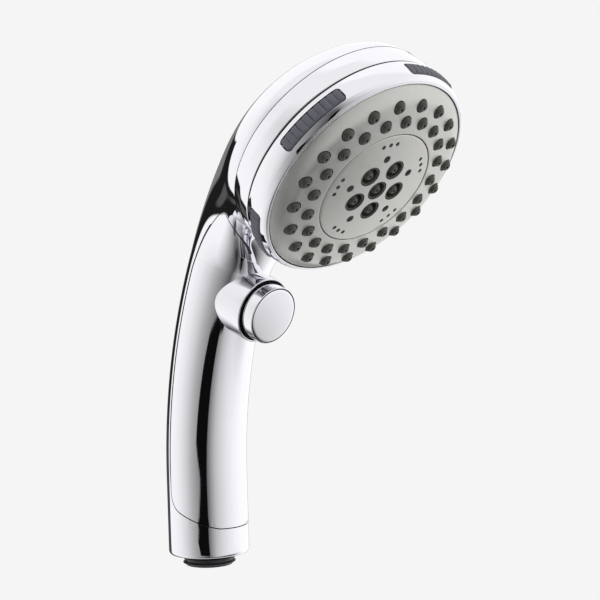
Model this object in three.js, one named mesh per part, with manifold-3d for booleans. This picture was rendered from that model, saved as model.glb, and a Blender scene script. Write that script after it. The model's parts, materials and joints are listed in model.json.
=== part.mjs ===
// Handheld shower head with a turning five-function spray dial and a push button
// on the handle. Millimetres, +Z up. The origin is the middle of the threaded
// inlet's end face, the handle rises along +Z and the spray face looks to -Y.

import * as THREE from 'three';
import { mergeVertices } from 'three/addons/utils/BufferGeometryUtils.js';
import Module from 'manifold-3d';

const wasm = await Module();
wasm.setup();

// ---- Driving dimensions ----

const DEGREE = Math.PI / 180;
const FUNCTIONS = 5;
const GAP = 0.3;
const WALL = 2;

// The handle is a round tube: straight at the foot, then bent forward.
const HANDLE_RADIUS = 16;
const HANDLE_SIDES = 28;
const FOOT_Z = 4.6;
const STRAIGHT_TOP = 36.4;
const BEND_RADIUS = 208;
const NECK_ANGLE = 24 * DEGREE;

// The hood joins the neck to the head. Its sections run between a back curve and a
// front curve, and each reach is how far an end of a curve keeps its direction.
const HOOD_BACK_REACH = 45.7;
const HOOD_DOME_REACH = 19;
const HOOD_FRONT_REACH = 8.1;
const HOOD_THROAT_REACH = 4.4;
const HOOD_FLARE = 0.93;
const HOOD_SWELL = 1.35;

// The seam between the front and rear shells, seen from the side.
const SEAM_BEHIND = 4;
const SEAM_FOOT = [[-70, 16.3], [-16.5, 16.3], [-12.5, 17.3], [-1.5, 22.5]];
const SEAM_CORNER = [3.9, 25.1];
const SEAM_CORNER_TOP = 30.5;
const SEAM_BEND_ANGLE = 22.5 * DEGREE;
const SEAM_TOP_CORNER = [-19, 133];
const SEAM_TOP = [-43.1, 139.1];
const SEAM_THROAT_CORNER = [-41, 132];
const SEAM_THROAT = [-36, 123];
const SEAM_END_Z = 117;

// The head turns about an axis through the middle of its spray face.
const FACE_Y = -91.5;
const FACE_Z = 146;
const HEAD_TILT = 48.7 * DEGREE;
const FACE_CROWN = 2.9;
const FACE_RADIUS = 41.3;
const FACE_RIM_DROP = 2.7;
const DIAL_RADIUS = 44.3;
const DIAL_BACK_RADIUS = 43.6;
const DIAL_BACK = 14.3;
const CREASE_RADIUS = 42.8;
const CREASE_DEPTH = 24;
const HOOD_DEPTH = CREASE_DEPTH + GAP / 2;

// Spray nozzles stand in two staggered rings round a centre disc.
const NOZZLES_PER_RING = 20;
const OUTER_RING = 34.9;
const INNER_RING = 28.7;
const NOZZLE_RADIUS = 2.3;
const NOZZLE_TIP = 1.3;
const NOZZLE_BORE = 0.5;
const PLATE_THICKNESS = 2;
const SHEET_THICKNESS = 1.2;
const RIM_RADII = [OUTER_RING + 1, 38.8, FACE_RADIUS];
const DISC_RADIUS = 23.6;
const JET_RING = 9.55;
const JET_HOLE = 4.05;
const SMALL_RING = 14;
const SMALL_HOLE = 1.5;
const MINI_RING = 20;
const MINI_HOLE = 0.85;
const MINI_STEP = 9 * DEGREE;
const PIERCE = 6;
const PATTERN_ANGLE = -1.3 * DEGREE;

// Rubber grips are let into the dial's rim.
const GRIP_ANGLE = 7.3 * DEGREE;
const GRIP_HALF_SPAN = 18 * DEGREE;
const GRIP_FRONT = 6;
const GRIP_BACK = 12;
const GRIP_RIBS = 10;

// The push button sits in a round boss at a right angle to the handle.
const BOSS_ANGLE = 20.4 * DEGREE;
const BOSS_RADIUS = 13;
const BOSS_BORE = 12.3;
const BOSS_ROOT = 4;
const BOSS_FRONT = 23.4;
const BOSS_SIDES = 28;
const BUTTON_FRONT = 29.5;
const BUTTON_BACK = 19;
const BUTTON_RADIUS = 11.4;
const BUTTON_WALL = 1.6;
const GUIDE_BACK = 20;
const PLUNGER_HEAD = 24.6;

// G1/2 male inlet thread.
const THREAD_RADIUS = 10.475;
const THREAD_PITCH = 1.814;
const THREAD_DEPTH = 1.16;
const THREAD_CRESTS = 4;
const INLET_BORE = 6;
const SOCKET_TOP = 24;
const REGULATOR_BACK = 6;
const REGULATOR_FRONT = 10;
const REGULATOR_HOLE = 0.9;
const REGULATOR_HOLE_RING = 3.4;

// Water tube inside the handle.
const TUBE_RADIUS = 7.5;
const TUBE_BORE = 5.5;
const TUBE_START = 15.4;
const NECK_TUBE_INSET = 1.5;
const NECK_TUBE_REACH = 18;
const VALVE_RADIUS = 9.3;

// ---- Materials ----

function material(colour, roughness, metalness) {
  return new THREE.MeshStandardMaterial({ color: colour, roughness, metalness });
}

const chrome = material(0xe8e8ec, 0.06, 1);
const satinPlate = material(0x9a9a92, 0.42, 0.35);
const nozzleRubber = material(0x4c4b45, 0.6, 0);
const gripRubber = material(0x5a5c66, 0.65, 0);
const sealRubber = material(0x1c1c1e, 0.7, 0);
const darkPlastic = material(0x2a2a2e, 0.4, 0);
const whitePlastic = material(0xdcdcd6, 0.45, 0);
const steel = material(0xb8bbc0, 0.3, 1);
const brass = material(0xb08d4f, 0.35, 1);

// ---- Solids ----

// Vertex order turns inside out when the volume comes out negative.
function signedVolume(positions, triangles) {
  const [a, b, c] = [new THREE.Vector3(), new THREE.Vector3(), new THREE.Vector3()];
  let volume = 0;
  for (let i = 0; i < triangles.length; i += 3) {
    a.fromArray(positions, triangles[i] * 3);
    b.fromArray(positions, triangles[i + 1] * 3);
    c.fromArray(positions, triangles[i + 2] * 3);
    volume += a.dot(b.cross(c)) / 6;
  }
  return volume;
}

// Triangles at a lathe's poles fold onto one vertex and are left out.
function realTriangles(index) {
  const kept = [];
  for (let i = 0; i < index.length; i += 3) {
    const [a, b, c] = [index[i], index[i + 1], index[i + 2]];
    if (a !== b && b !== c && c !== a) kept.push(a, b, c);
  }
  return kept;
}

function solid(geometry, matrix = new THREE.Matrix4()) {
  const bare = geometry.clone().applyMatrix4(matrix);
  bare.deleteAttribute('normal');
  bare.deleteAttribute('uv');
  const merged = mergeVertices(bare, 1e-4);
  const positions = merged.attributes.position.array;
  const triangles = realTriangles(merged.index.array);
  if (signedVolume(positions, triangles) < 0) triangles.reverse();
  return new wasm.Manifold(new wasm.Mesh({
    numProp: 3,
    vertProperties: new Float32Array(positions),
    triVerts: new Uint32Array(triangles),
  }));
}

function geometryOf(body) {
  const mesh = body.getMesh();
  const geometry = new THREE.BufferGeometry();
  geometry.setAttribute('position', new THREE.BufferAttribute(mesh.vertProperties, 3));
  geometry.setIndex(new THREE.BufferAttribute(mesh.triVerts, 1));
  return geometry;
}

function cut(body, tools) {
  return tools.reduce((rest, tool) => rest.subtract(tool), body);
}

function join(bodies) {
  return bodies.reduce((sum, body) => sum.add(body));
}

// A body turned about Z, from [radius, height] pairs that start and end on the axis.
function turned(profile, sides, matrix) {
  const points = profile.map(([radius, height]) => new THREE.Vector2(radius, height));
  const geometry = new THREE.LatheGeometry(points, sides);
  return solid(geometry.rotateX(Math.PI / 2), matrix);
}

// A ring about Z: its profile closes on itself.
function ring(profile, sides, matrix) {
  return turned([...profile, profile[0]], sides, matrix);
}

function tubeRing(inner, outer, low, high, sides, matrix) {
  return ring([[inner, low], [outer, low], [outer, high], [inner, high]], sides, matrix);
}

function rod(radius, low, high, sides, matrix) {
  return turned([[0, low], [radius, low], [radius, high], [0, high]], sides, matrix);
}

// A round-sectioned seal about Z.
function sealRing(middle, height, radius, sides, matrix) {
  const corners = 6;
  const profile = [];
  for (let i = 0; i < corners; i += 1) {
    const angle = (i + 0.5) * 2 * Math.PI / corners;
    profile.push([middle + radius * Math.cos(angle), height + radius * Math.sin(angle)]);
  }
  return ring(profile, sides, matrix);
}

function shift(x, y, z) {
  return new THREE.Matrix4().makeTranslation(x, y, z);
}

// A place round Z by radius and angle. In the head's own frame the angle goes up from +X.
function around(radius, angle, depth = 0) {
  return shift(radius * Math.cos(angle), -radius * Math.sin(angle), depth);
}

function functionAngle(index) {
  return PATTERN_ANGLE + index * 2 * Math.PI / FUNCTIONS;
}

function eachFunction(make) {
  return Array.from({ length: FUNCTIONS }, (unused, index) => make(index));
}

// ---- Handle centreline ----

function centrePoint(length, target = new THREE.Vector3()) {
  const angle = Math.max(0, length - STRAIGHT_TOP) / BEND_RADIUS;
  const straight = Math.min(length, STRAIGHT_TOP);
  return target.set(0, -BEND_RADIUS * (1 - Math.cos(angle)), straight + BEND_RADIUS * Math.sin(angle));
}

function lengthAt(angle) {
  return STRAIGHT_TOP + BEND_RADIUS * angle;
}

class HandleCentreline extends THREE.Curve {
  constructor(start, end) {
    super();
    this.start = start;
    this.end = end;
  }

  getPoint(t, target) {
    return centrePoint(this.start + t * (this.end - this.start), target);
  }
}

function sweep(path, radius, steps, sides) {
  const section = new THREE.Shape();
  for (let i = 0; i < sides; i += 1) {
    const angle = i * 2 * Math.PI / sides;
    const point = [radius * Math.cos(angle), radius * Math.sin(angle)];
    if (i === 0) section.moveTo(...point);
    else section.lineTo(...point);
  }
  return solid(new THREE.ExtrudeGeometry(section, { steps, extrudePath: path }));
}

// Middle of the handle at an angle along its bend, turned so that Z looks out of
// the handle's front and Y runs up along it.
function frontFrame(angle) {
  const place = centrePoint(lengthAt(angle));
  const turn = new THREE.Matrix4().makeRotationX(Math.PI / 2 + angle);
  return turn.setPosition(place);
}

// ---- Shells ----

const headFrame = new THREE.Matrix4().makeRotationX(-HEAD_TILT).setPosition(0, FACE_Y, FACE_Z);
const bossFrame = frontFrame(BOSS_ANGLE);

// One closed section: an ellipse between a front point and a back point.
function section(front, back, halfWidth) {
  const middle = front.clone().add(back).multiplyScalar(0.5);
  const half = back.clone().sub(front).multiplyScalar(0.5);
  return Array.from({ length: HANDLE_SIDES }, (unused, i) => {
    const angle = (i + 0.5) * 2 * Math.PI / HANDLE_SIDES;
    const point = middle.clone().addScaledVector(half, -Math.cos(angle));
    return point.setX(halfWidth * Math.sin(angle));
  });
}

function handleSection(length, inset) {
  const radius = HANDLE_RADIUS - inset;
  const middle = centrePoint(length);
  const angle = Math.max(0, length - STRAIGHT_TOP) / BEND_RADIUS;
  const backwards = new THREE.Vector3(0, Math.cos(angle), Math.sin(angle));
  const front = middle.clone().addScaledVector(backwards, -radius);
  const back = middle.clone().addScaledVector(backwards, radius);
  return section(front, back, radius);
}

// An edge of the hood in the plane of symmetry: it leaves the neck along the
// handle and meets the head square to its crease.
function hoodEdge(side, inset, neckReach, headReach) {
  const upwards = new THREE.Vector3(0, -Math.sin(NECK_ANGLE), Math.cos(NECK_ANGLE));
  const backwards = new THREE.Vector3(0, Math.cos(NECK_ANGLE), Math.sin(NECK_ANGLE));
  const inwards = new THREE.Vector3(0, 0, 1).transformDirection(headFrame);
  const start = centrePoint(lengthAt(NECK_ANGLE)).addScaledVector(backwards, side * (HANDLE_RADIUS - inset));
  const end = new THREE.Vector3(0, -side * (CREASE_RADIUS - inset), HOOD_DEPTH).applyMatrix4(headFrame);
  const neckPoint = start.clone().addScaledVector(upwards, neckReach);
  const headPoint = end.clone().addScaledVector(inwards, headReach);
  return new THREE.CubicBezierCurve3(start, neckPoint, headPoint, end);
}

function hoodSections(inset) {
  const steps = 12;
  const back = hoodEdge(1, inset, HOOD_BACK_REACH - inset, HOOD_DOME_REACH - 1.3 * inset);
  const front = hoodEdge(-1, inset, HOOD_FRONT_REACH + inset, HOOD_THROAT_REACH);
  return Array.from({ length: steps }, (unused, i) => {
    const t = (i + 1) / steps;
    const share = THREE.MathUtils.smoothstep(t ** HOOD_FLARE, 0, 1);
    const width = THREE.MathUtils.lerp(HANDLE_RADIUS, CREASE_RADIUS, share);
    const swell = HOOD_SWELL * 4 * t * (1 - t);
    return section(front.getPoint(t), back.getPoint(t), width + swell - inset);
  });
}

// A closed body through sections that all have the same number of points.
function loft(sections) {
  const count = sections[0].length;
  const triangles = [];
  for (let row = 0; row + 1 < sections.length; row += 1) {
    for (let i = 0; i < count; i += 1) {
      const [a, b] = [row * count + i, row * count + (i + 1) % count];
      triangles.push(a, b, b + count, a, b + count, a + count);
    }
  }
  const last = (sections.length - 1) * count;
  for (let i = 1; i + 1 < count; i += 1) {
    triangles.push(0, i + 1, i, last, last + i, last + i + 1);
  }
  const geometry = new THREE.BufferGeometry().setFromPoints(sections.flat());
  geometry.setIndex(triangles);
  return solid(geometry);
}

function shellBody(inset, foot, overrun) {
  const bendSteps = 7;
  const handle = [handleSection(foot, inset)];
  for (let i = 0; i <= bendSteps; i += 1) {
    handle.push(handleSection(lengthAt(NECK_ANGLE * i / bendSteps), inset));
  }
  const inwards = new THREE.Vector3(0, 0, 1).transformDirection(headFrame);
  const hood = hoodSections(inset);
  const rim = hood[hood.length - 1].map((point) => point.clone().addScaledVector(inwards, -overrun));
  return loft(overrun > 0 ? [...handle, ...hood, rim] : [...handle, ...hood]);
}

function wholeShell() {
  const outer = join([
    shellBody(0, FOOT_Z, 0),
    rod(BOSS_RADIUS, BOSS_ROOT, BOSS_FRONT, BOSS_SIDES, bossFrame),
  ]);
  return cut(outer, [
    shellBody(WALL, FOOT_Z - 1, 1),
    rod(BOSS_BORE, BOSS_ROOT - 1, BOSS_FRONT + 1, BOSS_SIDES, bossFrame),
  ]);
}

// Everything in front of the seam, as a plate of the seam's side outline.
function frontRegion(moveY, moveZ) {
  const halfWidth = 30;
  const outline = new THREE.Shape();
  const [start, ...foot] = SEAM_FOOT;
  outline.moveTo(...start);
  foot.forEach((point) => outline.lineTo(...point));
  outline.quadraticCurveTo(...SEAM_CORNER, SEAM_BEHIND, SEAM_CORNER_TOP);
  outline.lineTo(SEAM_BEHIND, STRAIGHT_TOP);
  outline.absarc(-BEND_RADIUS, STRAIGHT_TOP, BEND_RADIUS + SEAM_BEHIND, 0, SEAM_BEND_ANGLE);
  outline.quadraticCurveTo(...SEAM_TOP_CORNER, ...SEAM_TOP);
  outline.quadraticCurveTo(...SEAM_THROAT_CORNER, ...SEAM_THROAT);
  outline.lineTo(start[0], SEAM_END_Z);
  const options = { depth: 2 * halfWidth, bevelEnabled: false, curveSegments: 4 };
  const sideways = new THREE.Matrix4().makeBasis(
    new THREE.Vector3(0, 1, 0),
    new THREE.Vector3(0, 0, 1),
    new THREE.Vector3(1, 0, 0),
  );
  sideways.setPosition(-halfWidth, moveY, moveZ);
  return solid(new THREE.ExtrudeGeometry(outline, options), sideways);
}

function rearShell(shell) {
  const moves = [[0, 0], [GAP, 0], [-GAP, 0], [0, GAP], [0, -GAP]];
  return cut(shell, moves.map(([y, z]) => frontRegion(y, z)));
}

// ---- Inlet ----

function inletConnector() {
  const flangeRadius = HANDLE_RADIUS - WALL - GAP;
  const socket = TUBE_RADIUS + 2;
  const threadTop = (THREAD_CRESTS + 1) * THREAD_PITCH;
  const root = THREAD_RADIUS - THREAD_DEPTH;
  const outline = [[INLET_BORE, 0], [root, 0]];
  for (let crest = 0; crest < THREAD_CRESTS; crest += 1) {
    const z = (crest + 0.5) * THREAD_PITCH;
    outline.push([THREAD_RADIUS, z], [THREAD_RADIUS, z + THREAD_PITCH / 8]);
    outline.push([root, z + THREAD_PITCH / 2], [root, z + THREAD_PITCH * 0.6]);
  }
  outline.push([root, threadTop], [flangeRadius, threadTop]);
  outline.push([flangeRadius, SOCKET_TOP], [socket, SOCKET_TOP]);
  outline.push([socket, TUBE_START - GAP], [INLET_BORE, TUBE_START - GAP]);
  return ring(outline, 20);
}

function flowRegulator() {
  const holes = 6;
  const body = rod(INLET_BORE - GAP, REGULATOR_BACK, REGULATOR_FRONT, 24);
  const bores = Array.from({ length: holes }, (unused, i) => {
    const place = around(REGULATOR_HOLE_RING, i * 2 * Math.PI / holes);
    return rod(REGULATOR_HOLE, REGULATOR_BACK - 1, REGULATOR_FRONT + 1, 8, place);
  });
  return cut(body, bores);
}

// ---- Water tubes ----

function handleTube() {
  const end = lengthAt(BOSS_ANGLE) - VALVE_RADIUS - 2 * GAP;
  const outer = sweep(new HandleCentreline(TUBE_START, end), TUBE_RADIUS, 5, 12);
  const bore = sweep(new HandleCentreline(TUBE_START - 1, end + 1), TUBE_BORE, 5, 12);
  return outer.subtract(bore);
}

const CORE_HUB_RADIUS = 12;
const CORE_PORT_DEPTH = 30;

function neckTubePath(overrun) {
  const startLength = lengthAt(BOSS_ANGLE) + VALVE_RADIUS + 2 * GAP - overrun;
  const start = centrePoint(startLength);
  const startAhead = centrePoint(startLength + NECK_TUBE_REACH);
  const headUp = new THREE.Vector3(0, -1, 0).transformDirection(headFrame);
  const end = new THREE.Vector3(0, CORE_HUB_RADIUS + 2 * GAP - overrun, CORE_PORT_DEPTH);
  end.applyMatrix4(headFrame);
  const endBehind = end.clone().addScaledVector(headUp, -NECK_TUBE_REACH);
  return new THREE.CubicBezierCurve3(start, startAhead, endBehind, end);
}

function neckTube() {
  const outer = sweep(neckTubePath(0), TUBE_RADIUS - NECK_TUBE_INSET, 8, 10);
  const bore = sweep(neckTubePath(1), TUBE_BORE - NECK_TUBE_INSET, 8, 10);
  return outer.subtract(bore);
}

// ---- Button and valve, in the boss's frame ----

const VALVE_BORE = 5.6;
const VALVE_BACK = -9.4;
const PLUNGER_BACK = -2.6;
const PLUNGER_RADIUS = 2.5;
const VALVE_FRONT = 12;
const GLAND_FRONT = 15;

function valveBody() {
  const cup = turned([
    [0, VALVE_BACK], [VALVE_RADIUS, VALVE_BACK], [VALVE_RADIUS, VALVE_FRONT],
    [VALVE_BORE, VALVE_FRONT], [VALVE_BORE, VALVE_BACK + 3], [0, VALVE_BACK + 3],
  ], 20);
  const along = new THREE.Matrix4().makeRotationX(Math.PI / 2);
  const waterway = rod(TUBE_BORE - NECK_TUBE_INSET, -VALVE_RADIUS - 1, VALVE_RADIUS + 1, 14, along);
  return cup.subtract(waterway);
}

function valveGland() {
  return tubeRing(PLUNGER_RADIUS + GAP, VALVE_RADIUS, VALVE_FRONT + GAP, GLAND_FRONT, 20);
}

function valvePlunger() {
  return turned([
    [0, PLUNGER_BACK], [4.2, PLUNGER_BACK], [4.2, 0], [PLUNGER_RADIUS, 0.8], [PLUNGER_RADIUS, PLUNGER_HEAD],
    [4.4, PLUNGER_HEAD], [4.4, BUTTON_FRONT - 2.3], [0, BUTTON_FRONT - 2.3],
  ], 14);
}

function buttonCap() {
  const inside = BUTTON_RADIUS - BUTTON_WALL;
  return turned([
    [0, BUTTON_FRONT - 2], [inside, BUTTON_FRONT - 2.6], [inside, BUTTON_BACK],
    [BUTTON_RADIUS, BUTTON_BACK], [BUTTON_RADIUS, BUTTON_FRONT - 3.4],
    [BUTTON_RADIUS - 0.5, BUTTON_FRONT - 1.5], [BUTTON_RADIUS - 1.4, BUTTON_FRONT], [0, BUTTON_FRONT],
  ], BOSS_SIDES);
}

function guideRing() {
  return tubeRing(BUTTON_RADIUS + GAP, BOSS_BORE - GAP, GUIDE_BACK, BOSS_FRONT - 0.8, BOSS_SIDES);
}

class Helix extends THREE.Curve {
  constructor(radius, low, high, turns) {
    super();
    Object.assign(this, { radius, low, high, turns });
  }

  getPoint(t, target = new THREE.Vector3()) {
    const angle = t * this.turns * 2 * Math.PI;
    const height = this.low + t * (this.high - this.low);
    return target.set(this.radius * Math.cos(angle), this.radius * Math.sin(angle), height);
  }
}

function coilSpring(radius, wire, low, high, turns) {
  return sweep(new Helix(radius, low + wire, high - wire, turns), wire, turns * 8, 4);
}

// ---- Head pieces, in the head's frame: Z is the depth behind the face ----

// The face is crowned, and falls away more steeply outside the outer ring of nozzles.
function faceDepth(radius) {
  const rim = Math.max(radius - OUTER_RING, 0) / (FACE_RADIUS - OUTER_RING);
  return FACE_CROWN * ((radius / OUTER_RING) ** 2 - 1) + FACE_RIM_DROP * rim ** 2;
}

// A crowned ring or disc that follows the face's surface at a depth below it.
function crownedPlate(radii, low, high, sides) {
  const front = radii.map((radius) => [radius, faceDepth(radius) + low]);
  const back = radii.map((radius) => [radius, faceDepth(radius) + high]).reverse();
  return radii[0] > 0 ? ring([...front, ...back], sides) : turned([...front, ...back], sides);
}

function nozzlePlaces() {
  const pitch = 2 * Math.PI / NOZZLES_PER_RING;
  const places = [];
  for (let i = 0; i < NOZZLES_PER_RING; i += 1) {
    places.push([OUTER_RING, PATTERN_ANGLE + i * pitch]);
    places.push([INNER_RING, PATTERN_ANGLE + (i + 0.5) * pitch]);
  }
  return places;
}

function sprayPlate() {
  const plate = crownedPlate([DISC_RADIUS + GAP, ...RIM_RADII], 0, PLATE_THICKNESS, 30);
  const holes = nozzlePlaces().map(([radius, angle]) => (
    rod(NOZZLE_RADIUS + GAP, -4, 6, 6, around(radius, angle))
  ));
  return cut(plate, holes);
}

function nozzleMat() {
  const sheetFront = PLATE_THICKNESS + GAP;
  const sheetBack = sheetFront + SHEET_THICKNESS;
  const base = sheetBack - 0.4;
  const sheet = crownedPlate([DISC_RADIUS + 1, OUTER_RING + 2.5], sheetFront, sheetBack, 24);
  const nozzles = nozzlePlaces().map(([radius, angle]) => {
    const place = around(radius, angle, faceDepth(radius));
    const cone = [[0, base], [NOZZLE_RADIUS, base], [NOZZLE_RADIUS - 0.2, 0]];
    return turned([...cone, [NOZZLE_TIP, -NOZZLE_TIP], [0, -NOZZLE_TIP]], 6, place);
  });
  const bores = nozzlePlaces().map(([radius, angle]) => (
    rod(NOZZLE_BORE, -NOZZLE_TIP - 1, sheetBack + 2, 4, around(radius, angle, faceDepth(radius)))
  ));
  return cut(join([sheet, ...nozzles]), bores);
}

function centreDisc() {
  const halfStep = Math.PI / FUNCTIONS;
  const holes = [rod(JET_HOLE, -PIERCE, PIERCE, 10)];
  eachFunction((index) => {
    const angle = functionAngle(index);
    holes.push(rod(JET_HOLE, -PIERCE, PIERCE, 10, around(JET_RING, angle)));
    holes.push(rod(SMALL_HOLE, -PIERCE, PIERCE, 5, around(SMALL_RING, angle + halfStep)));
    for (const side of [-1, 0, 1]) {
      const place = around(MINI_RING, angle + halfStep + side * MINI_STEP);
      holes.push(rod(MINI_HOLE, -PIERCE, PIERCE, 4, place));
    }
  });
  return cut(crownedPlate([0, DISC_RADIUS / 2, DISC_RADIUS], 0, PLATE_THICKNESS, 30), holes);
}

// A recessed cup with a small cone and bore in its middle.
function jetInsert(ringRadius) {
  const outer = JET_HOLE - GAP;
  const front = faceDepth(ringRadius) + 0.4;
  return ring([
    [0.5, front + 5.4], [outer, front + 5.4], [outer, front], [outer - 0.6, front],
    [outer - 0.7, front + 3.2], [1.7, front + 3.2], [1.1, front + 0.6], [0.5, front + 0.6],
  ], 12);
}

// Part of a ring about Z between two angles, with a radius for each point of its outer edge.
function sector(inner, outerRadii, middle, halfSpan, low, high) {
  const outline = new THREE.Shape();
  const last = outerRadii.length - 1;
  const point = (radius, t) => {
    const angle = middle + halfSpan * (2 * t - 1);
    return [radius * Math.cos(angle), radius * Math.sin(angle)];
  };
  outline.moveTo(...point(inner, 0));
  outerRadii.forEach((radius, i) => outline.lineTo(...point(radius, i / last)));
  for (let i = 6; i > 0; i -= 1) outline.lineTo(...point(inner, i / 6));
  const geometry = new THREE.ExtrudeGeometry(outline, { depth: high - low, bevelEnabled: false });
  return solid(geometry, shift(0, 0, low));
}

function gripMiddle(index) {
  return -(GRIP_ANGLE + index * 2 * Math.PI / FUNCTIONS);
}

function dialRing() {
  const inner = FACE_RADIUS + GAP;
  const lip = faceDepth(FACE_RADIUS) - 0.5;
  const body = ring([
    [inner, DIAL_BACK], [inner, lip + 0.3], [inner + 0.6, lip], [inner + 1.2, lip + 0.7],
    [DIAL_RADIUS - 0.4, GRIP_FRONT], [DIAL_RADIUS, 7.6], [DIAL_RADIUS, 11], [DIAL_BACK_RADIUS, DIAL_BACK],
  ], 40);
  const far = Array.from({ length: 9 }, () => DIAL_RADIUS + 2);
  return cut(body, eachFunction((index) => (
    sector(inner + 0.8, far, gripMiddle(index), GRIP_HALF_SPAN, GRIP_FRONT, GRIP_BACK)
  )));
}

function gripPad(index) {
  const low = DIAL_RADIUS + 0.1;
  const ribbed = Array.from({ length: 2 * GRIP_RIBS + 1 }, (unused, i) => low + (i % 2) * 0.6);
  const span = GRIP_HALF_SPAN - GAP / DIAL_RADIUS;
  const inner = FACE_RADIUS + 0.8 + 2 * GAP;
  return sector(inner, ribbed, gripMiddle(index), span, GRIP_FRONT + GAP, GRIP_BACK - GAP);
}

const DISTRIBUTOR_FRONT = 5.1;
const DISTRIBUTOR_BACK = 7.1;
const SPINDLE_RADIUS = 3;
const DETENT_RING = 28;
const DETENT_RADIUS = 2;
const DETENT_BACK = 11.6;

function waterDistributor() {
  const rimFront = faceDepth(FACE_RADIUS) + 2 + GAP;
  const body = ring([
    [SPINDLE_RADIUS + GAP, DISTRIBUTOR_FRONT], [39, DISTRIBUTOR_FRONT], [39, rimFront],
    [FACE_RADIUS, rimFront], [FACE_RADIUS, DISTRIBUTOR_BACK], [38, DISTRIBUTOR_BACK], [38, 10], [36, 10],
    [36, DISTRIBUTOR_BACK], [8, DISTRIBUTOR_BACK], [8, 13.5], [SPINDLE_RADIUS + GAP, 13.5],
  ], 30);
  const tools = [];
  eachFunction((index) => {
    const angle = functionAngle(index);
    tools.push(rod(2.5, 4, 9, 8, around(18, angle)));
    tools.push(rod(2.2, 4, 9, 8, around(32, angle)));
    const dimple = new THREE.SphereGeometry(DETENT_RADIUS + GAP, 6, 4);
    tools.push(solid(dimple, around(DETENT_RING, angle, DISTRIBUTOR_BACK + 1.8)));
  });
  return cut(body, tools);
}

const DIVERTER_FRONT = 10.4;
const DIVERTER_BACK = 12.4;

function diverterDisc() {
  const pinAngle = functionAngle(0);
  return cut(tubeRing(8 + GAP, 34, DIVERTER_FRONT, DIVERTER_BACK, 30), [
    rod(2.5, 9, 14, 10, around(18, functionAngle(1))),
    rod(DETENT_RADIUS + GAP, 9, 14, 12, around(DETENT_RING, pinAngle)),
  ]);
}

function diverterGasket() {
  return tubeRing(22, 24, DISTRIBUTOR_BACK + GAP, DIVERTER_FRONT - GAP, 20);
}

function detentPin() {
  const place = around(DETENT_RING, functionAngle(0));
  const tip = DISTRIBUTOR_BACK + GAP;
  return turned([
    [0, tip], [1.2, tip + 0.3], [DETENT_RADIUS, tip + 1.4], [DETENT_RADIUS, DETENT_BACK], [0, DETENT_BACK],
  ], 12, place);
}

const CORE_FRONT = 15.1;

function headCore() {
  const body = ring([
    [1.9, CORE_FRONT], [41, CORE_FRONT], [41, CORE_FRONT + 2.5], [CORE_HUB_RADIUS, CORE_FRONT + 2.5],
    [CORE_HUB_RADIUS, 37], [1.9, 37],
  ], 32);
  const sideways = new THREE.Matrix4().makeRotationX(-Math.PI / 2).setPosition(0, 0, CORE_PORT_DEPTH);
  const tools = [rod(TUBE_BORE - NECK_TUBE_INSET, 4, CORE_HUB_RADIUS + 1, 14, sideways)];
  for (const angle of [45, 135, 225, 315]) {
    tools.push(rod(2, CORE_FRONT - 1, CORE_PORT_DEPTH, 10, around(7, angle * DEGREE)));
  }
  return cut(body, tools);
}

function pivotScrew() {
  return turned([
    [0, 3.4], [5.2, 3.4], [5.2, DISTRIBUTOR_FRONT - GAP], [SPINDLE_RADIUS, DISTRIBUTOR_FRONT - GAP],
    [SPINDLE_RADIUS, CORE_FRONT - GAP], [1.6, CORE_FRONT - GAP], [1.6, 25], [0, 25],
  ], 12);
}

function headRing() {
  const inner = CREASE_RADIUS - 1.4;
  const front = DIAL_BACK + GAP;
  const back = CREASE_DEPTH - GAP / 2;
  const middle = (front + back) / 2;
  return ring([
    [inner, front], [DIAL_BACK_RADIUS, front], [DIAL_BACK_RADIUS, middle], [CREASE_RADIUS, back],
    [inner, back],
  ], 36);
}

// ---- Assembly ----

function part(name, body, finish, parent) {
  const mesh = new THREE.Mesh(geometryOf(body), finish);
  mesh.name = name;
  parent.add(mesh);
}

function frameGroup(frame, parent) {
  const group = new THREE.Group();
  group.applyMatrix4(frame);
  parent.add(group);
  return group;
}

function addHandle(root) {
  const shell = wholeShell();
  part('rear_shell', rearShell(shell), chrome, root);
  part('front_shell', shell.intersect(frontRegion(0, 0)), chrome, root);
  part('inlet_connector', inletConnector(), darkPlastic, root);
  part('flow_regulator', flowRegulator(), whitePlastic, root);
  part('tube_o_ring', sealRing(TUBE_RADIUS + 1, 20, 0.7, 16), sealRubber, root);
  part('handle_water_tube', handleTube(), whitePlastic, root);
  part('neck_water_tube', neckTube(), whitePlastic, root);
}

function addButton(root) {
  const boss = frameGroup(bossFrame, root);
  part('valve_body', valveBody(), whitePlastic, boss);
  part('valve_gland', valveGland(), brass, boss);
  part('valve_plunger', valvePlunger(), steel, boss);
  part('plunger_seal', sealRing(4.9, PLUNGER_BACK / 2, 0.4, 10), sealRubber, boss);
  part('button_spring', coilSpring(7.2, 0.5, GLAND_FRONT + GAP, BUTTON_FRONT - 2.9, 4), steel, boss);
  part('button_guide_ring', guideRing(), sealRubber, boss);
  part('button_cap', buttonCap(), chrome, boss);
}

function addHead(root) {
  const head = frameGroup(headFrame, root);
  part('head_ring', headRing(), chrome, head);
  part('head_core', headCore(), whitePlastic, head);
  part('diverter_disc', diverterDisc(), whitePlastic, head);
  part('diverter_gasket', diverterGasket(), sealRubber, head);
  part('detent_pin', detentPin(), steel, head);
  const springPlace = frameGroup(around(DETENT_RING, functionAngle(0)), head);
  part('detent_spring', coilSpring(1.3, 0.25, DETENT_BACK + GAP, CORE_FRONT - GAP, 3), steel, springPlace);
  part('pivot_screw', pivotScrew(), steel, head);
}

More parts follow.
